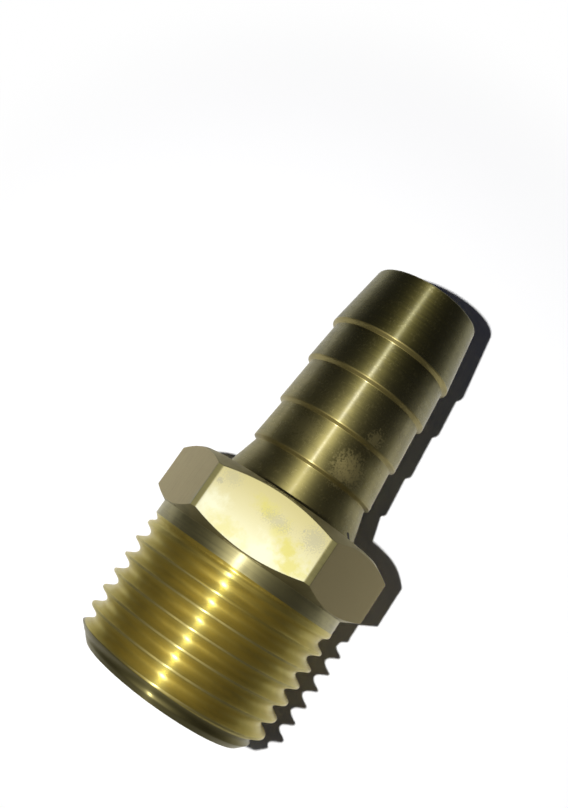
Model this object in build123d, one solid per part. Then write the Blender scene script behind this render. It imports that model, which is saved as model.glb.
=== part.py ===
"""Brass hose tail: taper pipe thread, hexagon for a spanner and a four-ridge hose barb, turned from one bar.

Millimetres. +X runs along the fitting towards the hose end, +Z is up. The origin is on the axis,
halfway along the hexagon. The fitting lies on the hexagon's lower flat, with another flat facing up.
"""

import os
from math import atan, cos, degrees, radians, tan

from build123d import *

# hexagon
hex_across_flats = 21.0
hex_across_corners = 23.9  # the bar's corners are turned down to this diameter
hex_length = 6.4
hex_face_diameter = 20.3  # round face that the end chamfers leave
hex_chamfer_angle = 30.0  # from the end face

# taper pipe thread, 1/2 in size, 14 turns per inch
thread_pitch = 25.4 / 14
thread_depth = 1.16
thread_flank_angle = 27.5  # each flank, from square to the axis
thread_root_width = 0.30
thread_end_diameter = 20.3  # over the crests at the free end, before its chamfer
thread_taper = 1 / 16  # of diameter, along the length
thread_end_distance = 14.6  # from the hexagon to the free end
thread_end_chamfer = 1.55  # at 45 degrees
thread_end_root_lead = 1.06  # the groove starts this far beyond the free end, at the top

# plain neck between the thread and the hexagon
neck_diameter = 20.5
neck_length = 1.3
neck_slope_length = 2.6  # from the neck's diameter up to the full crests
runout_step = 0.42  # short steep start of the run-out, along the axis and in radius
runout_length = 1.4  # the last turns get shallower over this length

# hose barb, with places measured from the hexagon's face towards the tip
tail_length = 25.1
tip_diameter = 11.6
tip_edge_radius = 0.3
ridge_diameter = 13.6
ridge_root_diameter = 12.8
ridge_hook = 0.27  # length of each ridge's short back slope
ridge_places = [3.95, 8.5, 13.55, 18.1]
ridge_land = 0.12  # narrow turned edge on each ridge
shoulder_diameter = 14.8  # where the flaring neck meets the hexagon

# waterway
bore_diameter = 9.0
tip_mouth_chamfer = 0.3
thread_mouth_chamfer = 0.8

# small overlaps that keep the cuts clean
tooth_overreach = 0.12  # the thread tool stands this far proud of the crests
runout_below_root = 0.05  # surfaces that meet the roots or crests pass them by this much

hex_face = hex_length / 2
neck_start = -hex_face - neck_length
thread_end = -hex_face - thread_end_distance
tip_end = hex_face + tail_length


def turned(points):
    """Solid turned about X from the outline through points of (place on the axis, radius)."""
    outline = Polyline(*points, close=True)
    return revolve(Plane.XY * make_face(outline), Axis.X)


def hexagon():
    """Hexagonal bar with turned corners and a chamfer at each end."""
    bar = Plane.YZ.offset(-hex_face) * extrude(
        RegularPolygon(hex_across_flats / 2, 6, major_radius=False), hex_length
    )
    corner = hex_across_corners / 2
    face = hex_face_diameter / 2
    slope = (corner - face) * tan(radians(hex_chamfer_angle))
    envelope = turned(
        [
            (-hex_face, 0),
            (-hex_face, face),
            (-hex_face + slope, corner),
            (hex_face - slope, corner),
            (hex_face, face),
            (hex_face, 0),
        ]
    )
    return bar & envelope


def crest_radius(x):
    """Radius over the thread's crests at a place on the axis."""
    return thread_end_diameter / 2 + (x - thread_end) * thread_taper / 2


def thread_groove():
    """Groove between the turns: a tooth swept on a helix on the cone through the roots."""
    cone = atan(thread_taper / 2)
    start = thread_end - thread_end_root_lead
    root = crest_radius(start) - thread_depth
    path = Helix(
        pitch=thread_pitch / cos(cone),
        height=neck_start + neck_length / 2 - start,
        radius=root,
        center=(start, 0, 0),
        direction=(1, 0, 0),
        cone_angle=degrees(cone),
    )
    first = path @ 0
    section = Plane(origin=first, x_dir=Vector(0, first.Y, first.Z), z_dir=path % 0)
    height = thread_depth + tooth_overreach
    narrow = thread_root_width / 2
    wide = narrow + height * tan(radians(thread_flank_angle))
    tooth = Polygon((0, -narrow), (0, narrow), (height, wide), (height, -wide), align=None)
    return sweep(section * tooth, path=path, is_frenet=True)


def threaded_end():
    """Tapered and chamfered blank, less the groove, with its plain neck turned down."""
    neck = neck_diameter / 2
    outside = hex_across_corners / 2 + 2
    chamfer_start = thread_end + thread_end_chamfer
    blank = turned(
        [
            (0, 0),
            (0, crest_radius(0)),
            (chamfer_start, crest_radius(chamfer_start)),
            (thread_end, crest_radius(chamfer_start) - thread_end_chamfer),
            (thread_end, 0),
        ]
    )
    # The die's tapered lead leaves the last turns shallow: the groove stays outside this envelope.
    step = neck_start - runout_step
    full_depth = step - runout_length
    die_lead = turned(
        [
            (0, 0),
            (0, outside),
            (neck_start, outside),
            (neck_start, neck),
            (step, neck - runout_step),
            (full_depth, crest_radius(full_depth) - thread_depth - runout_below_root),
            (full_depth, 0),
        ]
    )
    crest_start = neck_start - neck_slope_length
    turned_away = turned(
        [
            (neck_start, neck),
            (crest_start, crest_radius(crest_start) + runout_below_root),
            (crest_start, outside),
            (0, outside),
            (0, neck),
        ]
    )
    return blank - (thread_groove() - die_lead) - turned_away


def barb():
    """Flaring neck, four ridges that lean back towards the hexagon, and the leading cone."""
    ridge, root = ridge_diameter / 2, ridge_root_diameter / 2
    outline = [(0, 0), (0, shoulder_diameter / 2), (hex_face, shoulder_diameter / 2)]
    for place in ridge_places:
        x = hex_face + place
        outline += [(x - ridge_hook, root), (x, ridge), (x + ridge_land, ridge)]
    outline += [(tip_end, tip_diameter / 2), (tip_end, 0)]
    return turned(outline)


def hose_tail():
    """The whole fitting with its waterway."""
    body = hexagon() + threaded_end() + barb()
    tip_edges = body.faces().sort_by(Axis.X)[-1].edges()
    body = fillet(tip_edges, tip_edge_radius)
    bore = bore_diameter / 2
    water = turned(
        [
            (thread_end, 0),
            (thread_end, bore + thread_mouth_chamfer),
            (thread_end + thread_mouth_chamfer, bore),
            (tip_end - tip_mouth_chamfer, bore),
            (tip_end, bore + tip_mouth_chamfer),
            (tip_end, 0),
        ]
    )
    return body - water


os.makedirs("parts", exist_ok=True)
fitting = hose_tail()
export_step(fitting, "parts/hose_barb_fitting.step")
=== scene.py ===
import math

import bpy
import numpy as np
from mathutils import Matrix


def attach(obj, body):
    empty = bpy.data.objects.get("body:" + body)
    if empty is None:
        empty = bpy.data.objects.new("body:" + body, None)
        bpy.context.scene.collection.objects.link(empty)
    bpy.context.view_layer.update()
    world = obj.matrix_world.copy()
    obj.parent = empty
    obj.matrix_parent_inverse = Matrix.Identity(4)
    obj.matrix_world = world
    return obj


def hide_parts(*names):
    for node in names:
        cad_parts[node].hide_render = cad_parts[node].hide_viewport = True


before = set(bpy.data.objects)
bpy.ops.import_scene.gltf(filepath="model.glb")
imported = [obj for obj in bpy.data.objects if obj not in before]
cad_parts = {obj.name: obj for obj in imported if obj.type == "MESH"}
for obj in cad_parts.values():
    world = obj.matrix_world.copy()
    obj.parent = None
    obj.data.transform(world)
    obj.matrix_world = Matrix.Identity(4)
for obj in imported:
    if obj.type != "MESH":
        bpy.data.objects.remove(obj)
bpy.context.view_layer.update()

# Waterway and thread end face. A plain hole is drilled right through the bar, and the free end of
# the thread is faced square and its mouth lightly countersunk. Yellow brass, bright from the tool.
MM = 0.001
thread_end, tip_end = -17.8, 28.3
bore_radius = 4.5

# columns of points run along the fitting, closer together towards the hexagon's six corners
to_corner = [27.9, 28.25, 28.42, 28.52, 28.62, 28.8, 29.2, 29.6, 30.0]
half_side = np.append(np.arange(0, 27.1, 1.5), to_corner)
one_side = np.concatenate([-half_side[:0:-1], half_side[:-1]])
angles = np.concatenate([60 * k + 30 + one_side for k in range(6)])
angles = np.radians(np.sort(angles % 360))
columns = len(angles)
corners, facets, finishes = [], [], []
count = 0


def ring(x, r):
    """A ring of points round the axis, at place x and radius r in millimetres."""
    global count
    x = np.broadcast_to(np.asarray(x, float), (columns,))
    r = np.broadcast_to(np.asarray(r, float), (columns,))
    corners.append(np.column_stack([x, r * np.cos(angles), r * np.sin(angles)]) * MM)
    count += columns
    return np.arange(count - columns, count)


def skin(a, b, finish):
    """The strip of surface from ring a to ring b, in one finish."""
    for j in range(columns):
        k = (j + 1) % columns
        facets.append((int(a[j]), int(a[k]), int(b[k]), int(b[j])))
        finishes.append(finish)


def skins(rings, finish):
    """The surface through several rings, one after the other."""
    for a, b in zip(rings, rings[1:]):
        skin(a, b, finish)


inside = [ring(x, bore_radius) for x in (27.9, 20, 10, 0, -8, -16.9)]
countersink = ((0.75, 0.02), (0.68, 0.08), (0.08, 0.72), (0.02, 0.8), (0, 0.9))
mouth = [ring(thread_end + deep, bore_radius + out) for deep, out in countersink]
end_face = [ring(thread_end, r) for r in (6.4, 7.6, 8.5)]
skins(inside + mouth + end_face, "turned")


def feed(tree, value, socket):
    """Gives a socket a number, a colour, or what another node puts out."""
    if isinstance(value, tuple):
        socket.default_value = (*value, 1)
    elif isinstance(value, (int, float)):
        socket.default_value = value
    else:
        tree.links.new(value, socket)


def node(tree, kind, **settings):
    """A shader node with its settings."""
    made = tree.nodes.new("ShaderNode" + kind)
    for name, value in settings.items():
        setattr(made, name, value)
    return made


def calc(tree, operation, a, b, clamp=False):
    """One sum on two values, each a number or what another node puts out."""
    made = node(tree, "Math", operation=operation, use_clamp=clamp)
    feed(tree, a, made.inputs[0])
    feed(tree, b, made.inputs[1])
    return made.outputs[0]


def blend_colour(tree, share, a, b):
    """Colour a where the share is 0, and colour b where it is 1."""
    made = node(tree, "Mix", data_type="RGBA")
    for value, number in ((share, 0), (a, 6), (b, 7)):
        feed(tree, value, made.inputs[number])
    return made.outputs[2]


def grain(tree, place, size, detail=3.0, rough=0.55):
    """Cloudy pattern with patches of about that many millimetres."""
    made = node(tree, "TexNoise")
    made.inputs["Scale"].default_value = 1 / (size * MM)
    made.inputs["Detail"].default_value = detail
    made.inputs["Roughness"].default_value = rough
    feed(tree, place, made.inputs["Vector"])
    return made.outputs["Fac"]


def between(tree, value, low, high, to_low=0.0, to_high=1.0):
    """to_low up to the low value, to_high past the high one, and a smooth step between them."""
    made = node(tree, "MapRange", interpolation_type="SMOOTHSTEP")
    for k, number in enumerate((low, high, to_low, to_high), start=1):
        made.inputs[k].default_value = number
    feed(tree, value, made.inputs[0])
    return made.outputs[0]


def stretched(tree, place, x, y, z):
    """A place or a colour, with each of its three numbers multiplied."""
    made = node(tree, "VectorMath", operation="MULTIPLY")
    made.inputs[1].default_value = (x, y, z)
    feed(tree, place, made.inputs[0])
    return made.outputs[0]


def parts_of(tree, place):
    """The X, Y and Z of a place, as three outputs."""
    split = node(tree, "SeparateXYZ")
    feed(tree, place, split.inputs[0])
    return split.outputs


def along(tree, place, low, high, to_low=0.0, to_high=1.0):
    """One number up to a place on the fitting's axis, in millimetres, and another past the next."""
    return between(tree, parts_of(tree, place)["X"], low * MM, high * MM, to_low, to_high)


def graded(tree, place, amount):
    """A plain number, or one that changes between two places on the axis."""
    if isinstance(amount, tuple):
        (low, at_low), (high, at_high) = amount
        return along(tree, place, low, high, at_low, at_high)
    return amount


def brass(name, dull, bright, share, worn=0.75, wear=0.6, cloud=2.2, uneven=0.025, rings=0.12, marks_and_shading=None):
    """Turned brass. Most of the surface is dull, with fine bright rings left by the tool that draw a
    highlight out along the axis. dull and bright are a colour, a roughness and a pull along the
    axis; share is how much of the surface is bright."""
    made = bpy.data.materials.new(name)
    made.use_nodes = True
    tree = made.node_tree
    tree.nodes.remove(tree.nodes["Principled BSDF"])
    place = node(tree, "TexCoord").outputs["Object"]
    tangent = node(tree, "Tangent", direction_type="RADIAL", axis="X").outputs[0]
    clouds = grain(tree, place, cloud)
    lathe_rings = grain(tree, stretched(tree, place, 1.0, 0.03, 0.03), 0.16, 2.0)
    worn_share = calc(tree, "MULTIPLY", between(tree, clouds, 0.42, 0.66), wear)
    ring_wear = between(tree, lathe_rings, 0.3, 0.7, -rings, rings)
    worn_share = calc(tree, "ADD", worn_share, ring_wear, clamp=True)
    bump = node(tree, "Bump")
    bump.inputs["Strength"].default_value = 0.1
    bump.inputs["Distance"].default_value = 0.0005 * MM
    feed(tree, lathe_rings, bump.inputs["Height"])
    stain_and_shade = marks_and_shading(tree, place) if marks_and_shading else None
    both = node(tree, "MixShader")
    for slot_number, (colour, rough, pull) in enumerate((bright, dull), start=1):
        shader = node(tree, "BsdfPrincipled")
        shader.inputs["Metallic"].default_value = 1.0
        shader.inputs["Anisotropic"].default_value = pull
        shader.inputs["Anisotropic Rotation"].default_value = 0.25
        feed(tree, tangent, shader.inputs["Tangent"])
        tone = blend_colour(tree, worn_share, colour, tuple(c * worn for c in colour))
        depth = graded(tree, place, rough)
        if uneven:
            depth = calc(tree, "ADD", between(tree, clouds, 0.3, 0.7, -uneven, uneven), depth)
        if stain_and_shade:
            tone, depth = stain_and_shade(tone, depth)
        feed(tree, tone, shader.inputs["Base Color"])
        feed(tree, depth, shader.inputs["Roughness"])
        feed(tree, bump.outputs["Normal"], shader.inputs["Normal"])
        feed(tree, shader.outputs[0], both.inputs[slot_number])
    ringed = between(tree, lathe_rings, 0.3, 0.7, 0.8, 1.2)
    bright_share = calc(tree, "MULTIPLY", ringed, graded(tree, place, share))
    feed(tree, calc(tree, "SUBTRACT", 1, bright_share), both.inputs[0])
    feed(tree, both.outputs[0], tree.nodes["Material Output"].inputs["Surface"])
    return made


finish_of = {
    "turned": brass("brass_turned", ((0.36, 0.32, 0.14), 0.64, 0.6), ((0.5, 0.44, 0.2), 0.36, 1.0), 0.15)
}

# Taper pipe thread. Fourteen right-handed turns to the inch, cut with a die on a cone of 1 in 16,
# with a 45 degree lead at the free end. Bare yellow brass, more golden down in its grooves.
pitch = 25.4 / 14
end_crest, taper = 10.15, 1 / 16
depth, round_root, flank = 1.0, 0.57, math.tan(math.radians(27.5))
groove_at_top = -18.86
lead_start, last_full_crest = thread_end + 1.55, -7.1
neck_start, neck_radius = -4.5, 10.25
run_out_end = neck_start - 0.42
run_out_start = run_out_end - 1.4


def crest(x):
    """Radius over the full crests."""
    return end_crest + (x - thread_end) * taper / 2


def lower(a, b, rounding):
    """The smaller of two heights, with the edge between them rounded off."""
    near = np.maximum(rounding - abs(a - b), 0) / rounding
    return np.minimum(a, b) - near * near * rounding / 4


def higher(a, b, rounding):
    """The larger of two heights, with the edge between them rounded off."""
    return -lower(-a, -b, rounding)


def thread_radius(x, from_groove):
    """Radius at a place on the axis, that far from the middle of the nearest groove."""
    beside = abs(from_groove)
    rise = np.where(beside < round_root, beside**2 / (2 * round_root), beside - round_root / 2)
    groove = crest(x) - depth + rise / flank
    # the die's own lead leaves the last turns shallow, and a 45 degree step rises to the neck
    step_radius = neck_radius - (neck_start - run_out_end)
    shallower = (step_radius - crest(run_out_start) + depth) / (run_out_end - run_out_start)
    on_step = neck_radius - (neck_start - x)
    run_out = np.where(x > run_out_end, on_step, step_radius - (run_out_end - x) * shallower)
    groove = higher(groove, run_out, rounding=0.12)
    # the last crests slope down to the neck
    to_crest = np.clip((neck_start - x) / (neck_start - last_full_crest), 0, 1)
    last_crests = neck_radius + (crest(last_full_crest) - neck_radius) * to_crest
    lead = crest(lead_start) - (lead_start - x)
    outside = lower(np.minimum(crest(x), last_crests), lead, rounding=0.06)
    return lower(outside, groove, rounding=0.07)


# points across one turn, by their distance from the groove's middle, with three at each edge
across = [0, 0.12, 0.24, 0.36, 0.48, 0.6, 0.765, 0.805, 0.845]
steps = [-s for s in across[:0:-1]] + across + [pitch / 2]
per_turn = len(steps)
crest_steps = (0, per_turn - 3, per_turn - 2, per_turn - 1)
turns = 11
# the first turn starts before the end face, and the top is a quarter turn on from the first angle
first = groove_at_top - pitch * (1 + 0.25)
turn_share = angles / (2 * math.pi)
grid_x = np.array([first + pitch * (t + turn_share) + s for t in range(turns) for s in steps])
from_groove = np.array([[s] * columns for s in steps * turns])
for crease in (lead_start, last_full_crest, run_out_end, run_out_start):
    nearest = np.argmin(abs(grid_x - crease), axis=0)
    moved = crease - grid_x[nearest, range(columns)]
    grid_x[nearest, range(columns)] = crease
    from_groove[nearest, range(columns)] += moved
first_place, last_place, join = thread_end + 0.02, neck_start - 0.02, 0.015
lead_ring = ring(first_place, thread_radius(first_place, pitch / 2))
neck_ring = ring(last_place, thread_radius(last_place, pitch / 2))
rows = len(grid_x)
index = np.full((rows, columns), -1)
points = []
for j in range(columns):
    for i in range(rows):
        x = grid_x[i, j]
        if x <= first_place + join:
            index[i, j] = lead_ring[j]
        elif x >= last_place - join:
            index[i, j] = neck_ring[j]
        else:
            r = float(thread_radius(x, from_groove[i, j]))
            points.append((x * MM, r * math.cos(angles[j]) * MM, r * math.sin(angles[j]) * MM))
            index[i, j] = count
            count += 1
corners.append(np.array(points))
for j in range(columns):
    k = (j + 1) % columns
    shift = per_turn if k == 0 else 0
    for i in range(rows - 1 - shift):
        around = [index[i, j], index[i + shift, k], index[i + 1 + shift, k], index[i + 1, j]]
        facet = [int(v) for n, v in enumerate(around) if v != around[n - 1]]
        if len(set(facet)) >= 3:
            on_crest = i % per_turn in crest_steps and lead_start < grid_x[i, j] < last_full_crest
            facets.append(tuple(facet))
            finishes.append("crest" if on_crest else "thread")
outer_edge = ring(thread_end, float(thread_radius(first_place, pitch / 2)) - 0.05)
skins([end_face[-1], outer_edge, lead_ring], "turned")


def thread_lead_shade(tree, place):
    """Painted shade: the lead at the free end is coloured darker than the turns."""
    lead_shade = along(tree, place, lead_start - 0.06, lead_start + 0.04, 1.0, 0.0)

    def stain_and_shade(tone, depth):
        # painted shade: the lead is coloured darker
        tone = blend_colour(tree, lead_shade, tone, (0.2, 0.175, 0.07))
        return tone, calc(tree, "SUBTRACT", depth, calc(tree, "MULTIPLY", lead_shade, 0.05))

    return stain_and_shade


finish_of["thread"] = brass(
    "brass_thread",
    ((0.5, 0.385, 0.08), 0.675, 0.52),
    ((0.6, 0.55, 0.185), 0.365, 1.0),
    0.4,
    wear=0.4,
    cloud=3.0,
    marks_and_shading=thread_lead_shade,
)
finish_of["crest"] = brass(
    "brass_crest", ((0.52, 0.43, 0.145), 0.66, 0.5), ((0.58, 0.53, 0.22), 0.37, 1.0), 0.32
)

# Plain neck. A narrow straight band turned between the thread's run-out and the hexagon, left
# with coarser brushed tool marks. It is part of the same bar.
half_hexagon, face_radius = 3.2, 10.15
chamfer_slope = math.tan(math.radians(30))
neck_join = -(half_hexagon - (neck_radius - face_radius) * chamfer_slope)
neck = [neck_ring]
for x in (neck_start, neck_start + 0.05, -4.0, -3.5, neck_join - 0.06):
    neck.append(ring(x, neck_radius))
neck.append(ring(neck_join - 0.02, neck_radius + 0.005))
neck.append(ring(neck_join + 0.02, neck_radius + 0.035))
skins(neck, "neck")
finish_of["neck"] = brass(
    "brass_neck", ((0.37, 0.33, 0.15), 0.6, 0.55), ((0.44, 0.41, 0.24), 0.44, 1.0), 0.34, rings=0.3
)

# Hexagon for the spanner. The drawn bar keeps its six flats, 21 mm across; the corners are turned
# down and both ends chamfered at 30 degrees, which leaves round-topped flats.
half_across, corner_radius, corner_angle = 10.5, 11.95, 28.5
off_flat = (np.degrees(angles) % 60) - 30
flat_radius = lower(half_across / np.cos(np.radians(off_flat)), corner_radius, rounding=0.05)
chamfer_place = half_hexagon - (flat_radius - face_radius) * chamfer_slope


def hexagon_ring(side, place):
    """A ring on the hexagon, on the thread's side (-1) or the barb's (1)."""
    chamfer = face_radius + (half_hexagon - abs(place)) / chamfer_slope
    return ring(side * place, lower(flat_radius, chamfer, rounding=0.07))


chamfer_edge = {}
for side in (-1, 1):
    past_edge = (0.16, 0.08, 0.04, 0.015, -0.015, -0.04, -0.08, -0.16)
    chamfer_edge[side] = [hexagon_ring(side, chamfer_place + past) for past in past_edge]
cone_place = chamfer_place + 0.6 * (half_hexagon - 0.06 - chamfer_place)
cone_down = hexagon_ring(-1, cone_place)
flats = [hexagon_ring(1, chamfer_place * share) for share in (-0.6, -0.2, 0.2, 0.6)]
cone_up = hexagon_ring(1, cone_place)
round_edge = ((0.03, 0.03), (0.01, -0.02), (0, -0.07))
face_edge = [ring(half_hexagon - back, face_radius + out) for back, out in round_edge]
skins([neck[-1], cone_down] + chamfer_edge[-1][:4], "chamfer")
first_on_flats = len(finishes)
skins(chamfer_edge[-1][3:] + flats + chamfer_edge[1][:3:-1], "flat")
for k in range(first_on_flats, len(finishes)):
    # a strip goes by the angle of its first side, and the small shift makes both corners alike
    if abs(off_flat[(k - first_on_flats) % columns] + 0.05) > corner_angle:
        finishes[k] = "corner"
skins([chamfer_edge[1][4]] + chamfer_edge[1][3::-1] + [cone_up] + face_edge, "chamfer")
face_inner = 7.7
face = [face_edge[-1]] + [ring(half_hexagon, r) for r in (9.2, 8.2, face_inner)]
skins(face, "chamfer")
finish_of["chamfer"] = brass(
    "brass_chamfer", ((0.26, 0.225, 0.1), 0.6, 0.6), ((0.34, 0.3, 0.14), 0.4, 0.8), 0.1
)
finish_of["corner"] = brass(
    "brass_corner", ((0.55, 0.5, 0.22), 0.7, 0.0), ((0.5, 0.45, 0.2), 0.5, 0.0), 0.3
)


def patch(tree, place, centre, reach, wobble, ragged=0.5, edge=0.35):
    """Share of a patch, used for stains and for painted highlights: 1 at its centre, 0 outside its reach,
    with a ragged edge.
    """
    away = node(tree, "VectorMath", operation="SUBTRACT")
    away.inputs[1].default_value = tuple(c * MM for c in centre)
    feed(tree, place, away.inputs[0])
    length = node(tree, "VectorMath", operation="LENGTH")
    feed(tree, stretched(tree, away.outputs[0], *(1 / (s * MM) for s in reach)), length.inputs[0])
    shift = calc(tree, "MULTIPLY", calc(tree, "SUBTRACT", wobble, 0.5), ragged * 4)
    return between(tree, calc(tree, "ADD", length.outputs["Value"], shift), 1 + edge, 1 - edge)


def flat_stains_and_painted_light(tree, place):
    """Marks and painted light on the flats: the upper one is painted paler beside the thread as a highlight,
    with yellow stains and grey smudges, and the one to the right of it is painted darker as shade. All have
    the fine grain of drawn bar."""
    wobble = grain(tree, place, 0.9, 4.0, 0.65)
    fine = grain(tree, place, 0.14, 4.0, 0.7)
    x, y, z = parts_of(tree, place)
    on_top = between(tree, z, 9.8 * MM, 10.2 * MM)
    glare_to_thread = between(tree, x, 3.0 * MM, -0.5 * MM)
    to_right = between(tree, y, -5.5 * MM, -6.2 * MM)
    # painted shade: the flat to the right of the upper one is coloured darker, standing in for shade
    painted_shade_right = calc(tree, "MULTIPLY", to_right, between(tree, z, -1.0 * MM, 1.0 * MM))

    def spot(centre, reach, edge_grain, ragged, edge=0.35):
        """A patch on the upper flat, for stains and painted highlights, with its centre and its reach along
        and across the fitting.
        """
        return patch(tree, place, (*centre, half_across), (*reach, 2), edge_grain, ragged, edge)

    # painted highlight: the upper flat is painted paler towards the thread and in two patches, standing in
    # for the lamp's glare
    painted_glare = calc(tree, "MULTIPLY", on_top, between(tree, x, 0.4 * MM, -2.4 * MM, 0.0, 0.75))
    for centre, reach in (((-1.3, 4.7), (1.2, 1.4)), ((-2.1, -1.2), (1.4, 1.8))):
        painted_glare = calc(tree, "MAXIMUM", painted_glare, spot(centre, reach, wobble, 0.5, 0.7))
    yellow = 0.0
    for centre, reach, strength in (
        ((1.2, 0.3), (0.6, 1.1), 0.8),
        ((0.4, -1.6), (0.8, 0.8), 0.6),
        ((-0.6, -2.9), (0.8, 1.0), 0.9),
        ((-1.7, -4.2), (0.9, 1.1), 0.8),
        ((-2.3, 2.6), (0.8, 1.6), 0.5),
    ):
        stained = calc(tree, "MULTIPLY", spot(centre, reach, wobble, 0.9, 0.8), strength)
        yellow = calc(tree, "MAXIMUM", yellow, stained)
    smudge = 0.0
    for centre, reach, ragged, strength in (
        ((0.95, 5.2), (0.25, 0.3), 1.3, 0.6),
        ((1.8, 4.4), (0.6, 0.7), 1.7, 0.35),
        ((0.8, -0.9), (0.5, 1.1), 1.9, 0.45),
        ((1.3, -4.5), (0.9, 0.9), 1.6, 0.5),
        ((1.38, -3.33), (0.12, 0.1), 0.3, 0.7),
    ):
        rubbed = calc(tree, "MULTIPLY", spot(centre, reach, fine, ragged), strength)
        smudge = calc(tree, "MAXIMUM", smudge, rubbed)
    drawn = between(tree, grain(tree, stretched(tree, place, 0.05, 1, 1), 0.13, 3.0), 0.45, 0.7, 0.0, 0.16)
    # the upper flat's own tone, painted paler towards the thread as part of the painted highlight
    top_tone_with_glare = blend_colour(tree, glare_to_thread, (0.325, 0.29, 0.135), (0.365, 0.338, 0.195))
    layers = (
        (drawn, (0.2, 0.16, 0.08)),
        (on_top, top_tone_with_glare),
        (painted_glare, (0.42, 0.41, 0.29)),
        (yellow, (0.345, 0.315, 0.095)),
        (smudge, (0.23, 0.22, 0.16)),
        # painted shade on the flat to the right of the upper one
        (calc(tree, "MULTIPLY", painted_shade_right, 0.9), (0.285, 0.237, 0.11)),
    )

    def stain_and_shade(tone, depth):
        for share, colour in layers:
            tone = blend_colour(tree, share, tone, colour)
        return tone, depth

    return stain_and_shade


flat_brass = ((0.43, 0.365, 0.195), 0.58, 0.0)
finish_of["flat"] = brass(
    "brass_flat", flat_brass, flat_brass, 0.5, worn=0.95, cloud=1.6, uneven=0.0, marks_and_shading=flat_stains_and_painted_light
)

# Hose barb. A short flare and four ridges that lean back towards the hexagon, so that a hose slides
# on and grips, then a plain leading cone with a rounded tip. Turned from the bar, dulled by handling.
flare_radius, waist_radius, ridge_radius = 7.4, 6.4, 6.8
tip_radius, tip_face_inner = 5.8, 5.1
ridge_back, ridge_land = 0.27, 0.12
ridges = [half_hexagon + place for place in (3.95, 8.5, 13.55, 18.1)]


def rounded(outline, radius, pieces=4):
    """The outline with its inner corners rounded; points are (place, radius) pairs."""
    out = [outline[0]]
    for before, at, after, r in zip(outline, outline[1:], outline[2:], radius):
        before, at, after = (np.array(p, float) for p in (before, at, after))
        a, b = before - at, after - at
        la, lb = np.linalg.norm(a), np.linalg.norm(b)
        a, b = a / la, b / lb
        half = math.acos(float(np.clip(a @ b, -1, 1))) / 2
        back = min(r / math.tan(half), la * 0.45, lb * 0.45)
        for s in np.linspace(0, 1, pieces + 1):
            bend = (1 - s) ** 2 * (at + a * back) + 2 * s * (1 - s) * at + s * s * (at + b * back)
            out.append(tuple(bend))
    out.append(outline[-1])
    return out


outline = [(half_hexagon, face_inner), (half_hexagon, flare_radius)]
round_by = [0.15]
for x in ridges:
    outline += [(x - ridge_back, waist_radius), (x, ridge_radius), (x + ridge_land, ridge_radius)]
    round_by += [0.12, 0.08, 0.06]
outline += [(tip_end, tip_radius), (tip_end, tip_face_inner)]
round_by += [0.3]
profile = rounded(outline, round_by)
longest, beside_bend = 1.4, 0.06
places = [profile[0]]
for a, b in zip(profile, profile[1:]):
    length = math.hypot(b[0] - a[0], b[1] - a[1])
    parts = max(1, round(length / longest))
    shares = list(np.arange(1, parts) / parts)
    if length > 0.5:
        shares = [beside_bend / length] + shares + [1 - beside_bend / length]
    places += [(a[0] + (b[0] - a[0]) * s, a[1] + (b[1] - a[1]) * s) for s in shares]
    places.append(b)
barb = [face[-1]] + [ring(x, r) for x, r in places[1:]]
for a, b, near, far in zip(barb, barb[1:], places, places[1:]):
    middle = (near[0] + far[0]) / 2
    on_ridge = any(x - 0.3 < middle < x + 0.15 for x in ridges)
    skin(a, b, "ridge" if on_ridge else "barb")
tip_mouth = [barb[-1]]
for back, out in ((0, 0.38), (0.02, 0.3), (0.28, 0.04)):
    tip_mouth.append(ring(tip_end - back, bore_radius + out))
skins(tip_mouth + [inside[0]], "turned")


def barb_marks(tree, place):
    """The barb is duller and more golden towards its tip. A rubbed patch and a few specks lie to the
    right of the top, and a hair-thin dark mark by the hexagon."""
    fine = grain(tree, place, 0.22, 4.0, 0.7)
    wobble = grain(tree, place, 0.9, 3.0)
    to_tip = along(tree, place, 9, 23)
    rubbed = patch(tree, place, (8.6, -3.1, 5.7), (1.6, 1.3, 1.8), fine, 1.0, 0.45)
    specks = calc(tree, "MULTIPLY", patch(tree, place, (12.3, -3.7, 5.4), (0.9, 0.6, 1.0), fine, 1.3), 0.35)
    left = calc(tree, "MULTIPLY", patch(tree, place, (9.6, 2.4, 6.1), (1.2, 1.3, 1.5), fine, 1.5), 0.1)
    dust = between(tree, wobble, 0.44, 0.58, 0.02, 0.12)
    dusty = calc(tree, "MULTIPLY", between(tree, fine, 0.5, 0.66), dust)
    rubbed = calc(tree, "MULTIPLY", rubbed, between(tree, fine, 0.3, 0.55, 0.25, 0.55))
    for share in (specks, left, dusty):
        rubbed = calc(tree, "MAXIMUM", rubbed, share)
    hair = 0.0
    for step in range(7):
        centre = (3.92 - 0.097 * step, -6.3 - 0.092 * step, 3.28 - 0.13 * step)
        hair = calc(tree, "MAXIMUM", hair, patch(tree, place, centre, (0.15, 0.26, 0.3), wobble, 0.1, 0.3))

    def stain_and_shade(tone, depth):
        tone = blend_colour(tree, to_tip, tone, stretched(tree, tone, 0.49, 0.49, 0.36))
        tone = blend_colour(tree, calc(tree, "MULTIPLY", rubbed, 0.85), tone, (0.95, 0.82, 0.4))
        tone = blend_colour(tree, hair, tone, (0.015, 0.013, 0.01))
        depth = calc(tree, "ADD", depth, calc(tree, "MULTIPLY", rubbed, 0.5), clamp=True)
        return tone, depth

    return stain_and_shade


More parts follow.
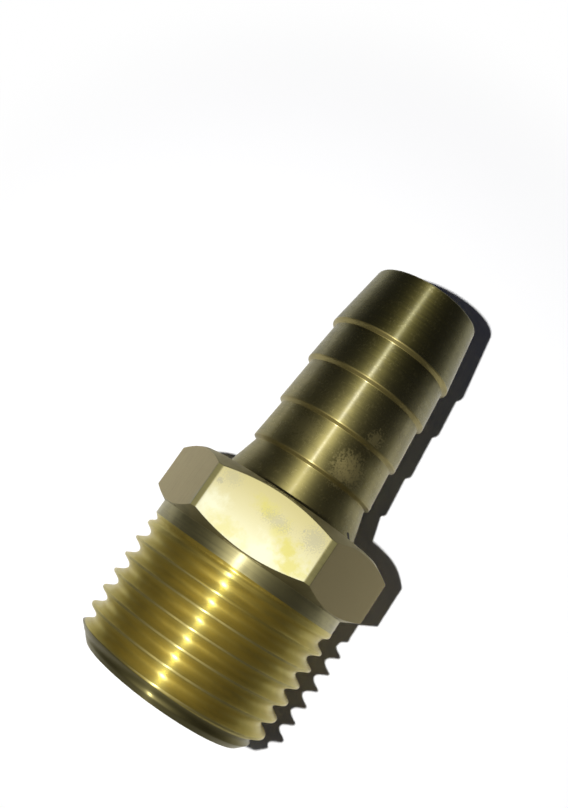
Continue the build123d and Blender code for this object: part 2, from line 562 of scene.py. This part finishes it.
finish_of["barb"] = brass(
    "brass_barb",
    ((0.355, 0.31, 0.115), 0.66, 0.89),
    ((0.45, 0.43, 0.35), ((9, 0.25), (25, 0.29)), 1.0),
    ((9, 0.1), (25, 0.48)),
    worn=0.78,
    cloud=1.5,
    marks_and_shading=barb_marks,
)
finish_of["ridge"] = brass(
    "brass_ridge", ((0.28, 0.23, 0.078), 0.57, 0.5), ((0.45, 0.4, 0.19), 0.36, 0.9), 0.2
)

# The whole fitting. All the surfaces above are one piece of brass bar, so they are joined into one
# closed mesh, with its finishes side by side on it. It replaces the plain solid.
names = list(finish_of)
mesh = bpy.data.meshes.new("hose_barb_finish")
mesh.from_pydata(np.concatenate(corners).tolist(), [], facets)
for name in names:
    mesh.materials.append(finish_of[name])
mesh.polygons.foreach_set("material_index", [names.index(f) for f in finishes])
mesh.polygons.foreach_set("use_smooth", [True] * len(finishes))
mesh.update()
fitting = bpy.data.objects.new("brass_hose_barb", mesh)
bpy.context.scene.collection.objects.link(fitting)
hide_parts("hose_barb_fitting")
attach(fitting, "root")

# Floor and light. The fitting lies on a plain white top, lit by one small lamp close above it,
# which draws the thin bright line along the top and the hard edge of the shadow.
half_width, floor_height = 3.0, -half_across * MM
floor_corners = [(x, y, floor_height) for x, y in ((-1, -1), (1, -1), (1, 1), (-1, 1))]
floor_mesh = bpy.data.meshes.new("floor")
floor_mesh.from_pydata([(x * half_width, y * half_width, z) for x, y, z in floor_corners], [], [(0, 1, 2, 3)])
floor = bpy.data.objects.new("floor", floor_mesh)
bpy.context.scene.collection.objects.link(floor)
paper = bpy.data.materials.new("white_top")
paper.use_nodes = True
tree = paper.node_tree
lit_top = tree.nodes["Principled BSDF"]
lit_top.inputs["Base Color"].default_value = (0.93, 0.93, 0.93, 1)
lit_top.inputs["Roughness"].default_value = 1.0
lit_top.inputs["Specular IOR Level"].default_value = 0.0
distance = node(tree, "VectorMath", operation="DISTANCE")
distance.inputs[1].default_value = (0.0133, 0.008, floor_height)
feed(tree, node(tree, "TexCoord").outputs["Object"], distance.inputs[0])
away = distance.outputs["Value"]


def seen_share(tree, in_metal):
    """1 for what the camera sees, and the given share for what metal or glass shows."""
    path = node(tree, "LightPath")
    shown = calc(tree, "MAXIMUM", path.outputs["Is Glossy Ray"], path.outputs["Is Transmission Ray"])
    return calc(tree, "MAXIMUM", path.outputs["Is Camera Ray"], calc(tree, "MULTIPLY", shown, in_metal))


# away from the fitting the top fades into a plain pale one that gives the metal little light
far_top = node(tree, "Emission")
dim_top = between(tree, away, 0.03, 0.09, 0.95, 0.06)
pale_top = between(tree, away, 0.1, 0.8, 1.0, 0.82)
shown_top = calc(tree, "MULTIPLY", seen_share(tree, 0.15), calc(tree, "SUBTRACT", pale_top, dim_top))
feed(tree, calc(tree, "ADD", dim_top, shown_top), far_top.inputs["Strength"])
top = node(tree, "MixShader")
feed(tree, between(tree, away, 0.035, 0.055), top.inputs[0])
feed(tree, lit_top.outputs[0], top.inputs[1])
feed(tree, far_top.outputs[0], top.inputs[2])
feed(tree, top.outputs[0], tree.nodes["Material Output"].inputs["Surface"])
floor_mesh.materials.append(paper)

lamp_data = bpy.data.lights.new("lamp", "POINT")
lamp_data.energy = 46
lamp_data.shadow_soft_size = 0.001
lamp_data.use_nodes = True
tree = lamp_data.node_tree
falloff = node(tree, "LightFalloff")
falloff.inputs["Strength"].default_value = 1.0
feed(tree, falloff.outputs["Constant"], tree.nodes["Emission"].inputs["Strength"])
lamp = bpy.data.objects.new("lamp", lamp_data)
lamp.location = (-0.0105, 0.0072, 0.096)
lamp.visible_camera = False
bpy.context.scene.collection.objects.link(lamp)

world = bpy.data.worlds.new("room")
bpy.context.scene.world = world
world.use_nodes = True
tree = world.node_tree
background = tree.nodes["Background"]
height = parts_of(tree, node(tree, "TexCoord").outputs["Generated"])["Z"]
low_light = between(tree, height, 0.22, -0.03, 0.02, 0.16)
seen = seen_share(tree, low_light)
feed(tree, blend_colour(tree, seen, (0.02, 0.021, 0.03), (0.82, 0.82, 0.83)), background.inputs["Color"])
background.inputs["Strength"].default_value = 1.0

# Camera. The photograph looks down on the fitting from about 85 mm, a little off plumb, and the
# camera is turned so that the barb points up and to the right in the frame.
camera_data = bpy.data.cameras.new("camera")
camera_data.sensor_width = 36
camera_data.lens = 38.917
camera_data.clip_start, camera_data.clip_end = 0.005, 20
camera = bpy.data.objects.new("camera", camera_data)
camera.location = (-0.003512, -0.008125, 0.085687)
camera.rotation_euler = tuple(math.radians(a) for a in (13.42298, 2.23627, -55.61016))
bpy.context.scene.collection.objects.link(camera)
bpy.context.scene.camera = camera
bpy.context.scene.view_settings.view_transform = "Standard"
